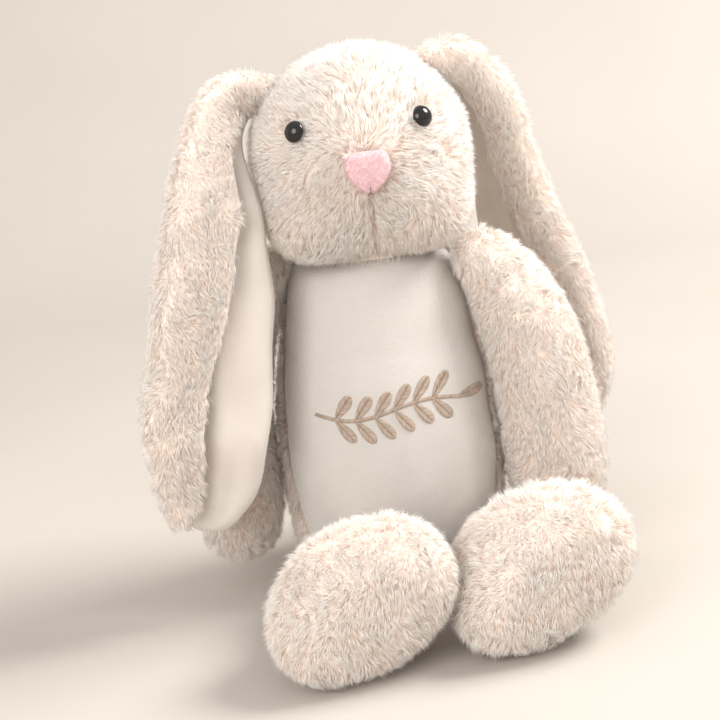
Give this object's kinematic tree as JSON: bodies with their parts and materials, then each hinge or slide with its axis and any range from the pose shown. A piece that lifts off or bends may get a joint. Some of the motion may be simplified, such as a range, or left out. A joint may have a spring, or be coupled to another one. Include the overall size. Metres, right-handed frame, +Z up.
{
  "type": "stuffed bunny rabbit",
  "caption": "Seated soft-toy rabbit with long floppy ears, fur cover, smooth belly panel with a stitched sprig, and movable head, ears, arms and legs.",
  "frame": {"origin": "middle of the flat base, on the surface that the toy sits on", "axes": "+Z up through the head, -Y the way the toy looks, +X to the toy's left"},
  "size_m": [0.2603, 0.255, 0.3047],
  "materials": {
    "plush_fur": "matte",
    "smooth_fabric": "matte",
    "velour_lining": "matte",
    "nose_velour": "matte",
    "embroidery_thread": "satin",
    "stuffing": "matte",
    "eye_plastic": "gloss",
    "washer_plastic": "matte",
    "zip_cloth": "matte",
    "zip_nylon": "satin",
    "zip_metal": "satin"
  },
  "bodies": {
    "torso": {"belly_panel": "smooth_fabric", "torso_left_panel": "plush_fur", "torso_right_panel": "plush_fur", "base_panel": "plush_fur", "body_pod": "stuffing", "belly_motif": "embroidery_thread", "tail_cover": "plush_fur", "tail_stuffing": "stuffing", "zip_tape_left": "zip_cloth", "zip_tape_right": "zip_cloth", "zip_teeth_left": "zip_nylon", "zip_teeth_right": "zip_nylon", "zip_stops": "zip_nylon"},
    "zip_runner": {"zip_slider": "zip_metal"},
    "zip_tab": {"zip_pull": "zip_metal"},
    "neck": {"neck_gusset": "plush_fur"},
    "head": {"face_left_panel": "plush_fur", "face_right_panel": "plush_fur", "head_back_panel": "plush_fur", "head_stuffing": "stuffing", "eye_left": "eye_plastic", "eye_right": "eye_plastic", "eye_washer_left": "washer_plastic", "eye_washer_right": "washer_plastic", "nose": "nose_velour"},
    "ear_left": {"ear_left_fur": "plush_fur", "ear_left_lining": "velour_lining"},
    "ear_right": {"ear_right_fur": "plush_fur", "ear_right_lining": "velour_lining"},
    "arm_left": {"arm_left_cover": "plush_fur", "arm_left_stuffing": "stuffing"},
    "arm_right": {"arm_right_cover": "plush_fur", "arm_right_stuffing": "stuffing"},
    "leg_left": {"leg_left_cover": "plush_fur", "leg_left_sole": "plush_fur", "leg_left_stuffing": "stuffing"},
    "leg_right": {"leg_right_cover": "plush_fur", "leg_right_sole": "plush_fur", "leg_right_stuffing": "stuffing"}
  },
  "joints": [
    {"name": "neck_turn", "type": "hinge", "parent": "torso", "child": "neck", "pos_m": [0, -0.005, 0.19], "axis": [0, 0, 1], "range_deg": [-10, 10]},
    {"name": "head_nod", "type": "hinge", "parent": "neck", "child": "head", "pos_m": [0, -0.005, 0.19], "axis": [1, 0, 0], "range_deg": [-8, 12], "stiffness_Nm_per_rad": 1},
    {"name": "ear_left_lift", "type": "hinge", "parent": "head", "child": "ear_left", "pos_m": [0.054, -0.008, 0.285], "axis": [0, -1, 0], "range_deg": [0, 65]},
    {"name": "ear_right_lift", "type": "hinge", "parent": "head", "child": "ear_right", "pos_m": [-0.05, -0.014, 0.283], "axis": [0, 1, 0], "range_deg": [0, 65]},
    {"name": "arm_left_raise", "type": "hinge", "parent": "torso", "child": "arm_left", "pos_m": [0.058, -0.028, 0.188], "axis": [0, -1, 0], "range_deg": [0, 75]},
    {"name": "arm_right_raise", "type": "hinge", "parent": "torso", "child": "arm_right", "pos_m": [-0.058, -0.008, 0.188], "axis": [0, 1, 0], "range_deg": [0, 75]},
    {"name": "leg_left_swing", "type": "hinge", "parent": "torso", "child": "leg_left", "pos_m": [0.05206, -0.06849, 0.026], "axis": [-0.9833, -0.1822, 0], "range_deg": [-35, 40]},
    {"name": "leg_right_swing", "type": "hinge", "parent": "torso", "child": "leg_right", "pos_m": [-0.04013, -0.07591, 0.026], "axis": [-0.9833, -0.1822, 0], "range_deg": [-35, 40]},
    {"name": "zip_slide", "type": "slide", "parent": "torso", "child": "zip_runner", "axis": [0, 1, 0], "range_m": [-0.046, 0]},
    {"name": "zip_pull_flip", "type": "hinge", "parent": "zip_runner", "child": "zip_tab", "pos_m": [0, 0.026, 0.0023], "axis": [1, 0, 0], "range_deg": [0, 165]}
  ]
}
